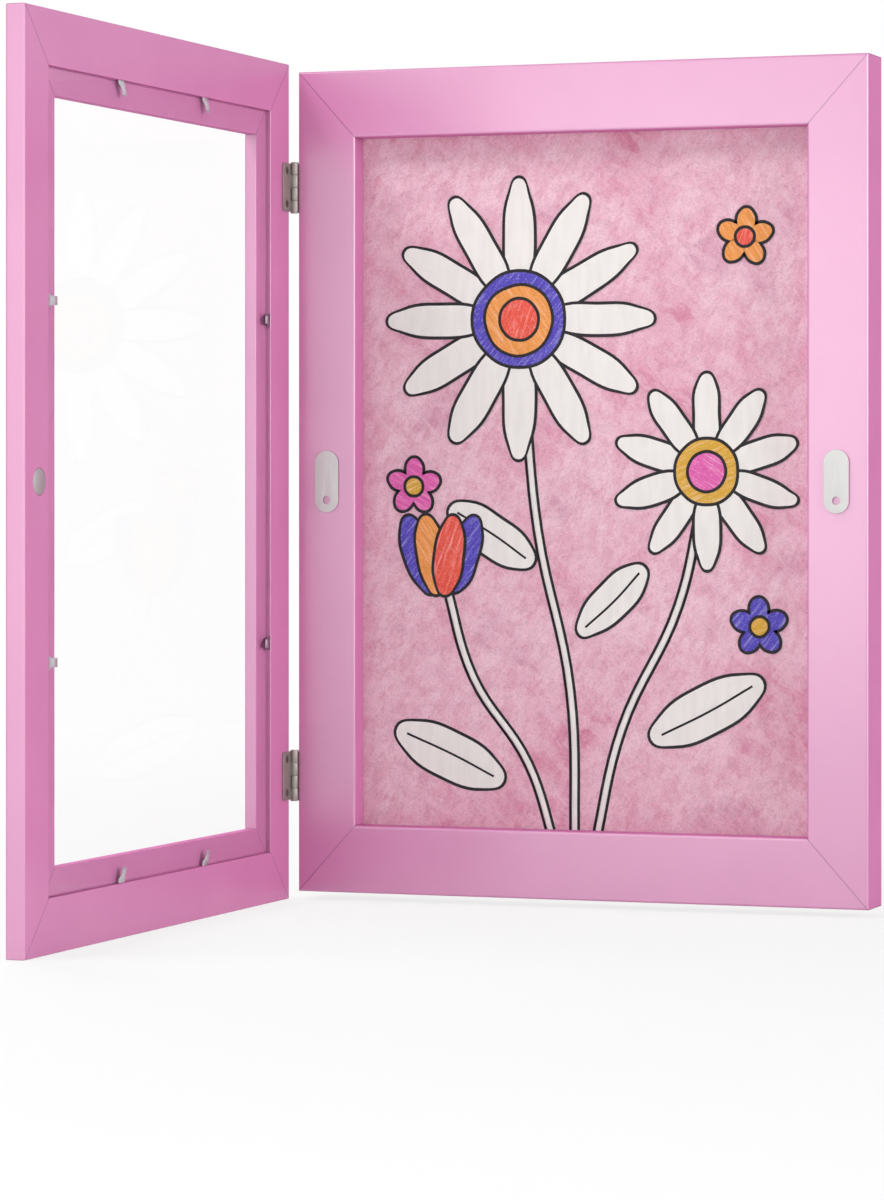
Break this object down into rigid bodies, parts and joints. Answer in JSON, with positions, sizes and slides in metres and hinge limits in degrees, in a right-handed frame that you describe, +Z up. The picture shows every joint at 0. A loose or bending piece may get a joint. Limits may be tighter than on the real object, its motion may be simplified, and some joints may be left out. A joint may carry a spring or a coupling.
{
  "type": "front-opening art frame",
  "caption": "Deep rectangular picture frame with a glazed door hinged on its left side and held shut by a magnet, for storing and showing drawings.",
  "frame": {"origin": "middle of the bottom rail's back face, on the plane that lies against the wall", "axes": "+X to the right as seen from the front, +Y back towards the wall, +Z up"},
  "size_m": [0.2543, 0.2693, 0.3443],
  "materials": {
    "pink_paint": "satin",
    "clear_acrylic": "gloss",
    "bright_steel": "satin",
    "hinge_steel": "satin",
    "strike_steel": "satin",
    "magnet_nickel": "satin",
    "zinc_steel": "satin",
    "adhesive_pad": "matte",
    "painted_sheet": "matte",
    "white_paper": "matte",
    "brown_card": "matte",
    "hardboard": "matte"
  },
  "bodies": {
    "frame": {"back_point_1": "bright_steel", "back_point_2": "bright_steel", "back_point_3": "bright_steel", "back_point_4": "bright_steel", "back_point_5": "bright_steel", "back_point_6": "bright_steel", "backboard": "hardboard", "display_sheet": "painted_sheet", "filler_card": "brown_card", "frame_bottom_rail": "pink_paint", "frame_corner_nail_1": "zinc_steel", "frame_corner_nail_2": "zinc_steel", "frame_corner_nail_3": "zinc_steel", "frame_corner_nail_4": "zinc_steel", "frame_left_stile": "pink_paint", "frame_right_stile": "pink_paint", "frame_top_rail": "pink_paint", "landscape_hanger": "zinc_steel", "landscape_hanger_nail_1": "zinc_steel", "landscape_hanger_nail_2": "zinc_steel", "left_strike_pad": "adhesive_pad", "left_strike_plate": "strike_steel", "lower_hinge_frame_leaf": "hinge_steel", "lower_hinge_frame_screw_1": "hinge_steel", "lower_hinge_frame_screw_2": "hinge_steel", "lower_hinge_pin": "hinge_steel", "portrait_hanger": "zinc_steel", "portrait_hanger_nail_1": "zinc_steel", "portrait_hanger_nail_2": "zinc_steel", "right_strike_pad": "adhesive_pad", "right_strike_plate": "strike_steel", "stored_sheets": "white_paper", "upper_hinge_frame_leaf": "hinge_steel", "upper_hinge_frame_screw_1": "hinge_steel", "upper_hinge_frame_screw_2": "hinge_steel", "upper_hinge_pin": "hinge_steel"},
    "door": {"door_bottom_rail": "pink_paint", "door_corner_nail_1": "zinc_steel", "door_corner_nail_2": "zinc_steel", "door_corner_nail_3": "zinc_steel", "door_corner_nail_4": "zinc_steel", "door_free_stile": "pink_paint", "door_hinge_stile": "pink_paint", "door_top_rail": "pink_paint", "glazing_pane": "clear_acrylic", "glazing_point_1": "bright_steel", "glazing_point_2": "bright_steel", "glazing_point_3": "bright_steel", "glazing_point_4": "bright_steel", "glazing_point_5": "bright_steel", "glazing_point_6": "bright_steel", "glazing_point_7": "bright_steel", "glazing_point_8": "bright_steel", "lower_hinge_door_leaf": "hinge_steel", "lower_hinge_door_screw_1": "hinge_steel", "lower_hinge_door_screw_2": "hinge_steel", "magnet": "magnet_nickel", "upper_hinge_door_leaf": "hinge_steel", "upper_hinge_door_screw_1": "hinge_steel", "upper_hinge_door_screw_2": "hinge_steel"}
  },
  "joints": [
    {"name": "door_swing", "type": "hinge", "parent": "frame", "child": "door", "pos_m": [-0.12325, -0.02045, 0.16053], "axis": [0, 0, 1], "range_deg": [-90, 90]}
  ]
}
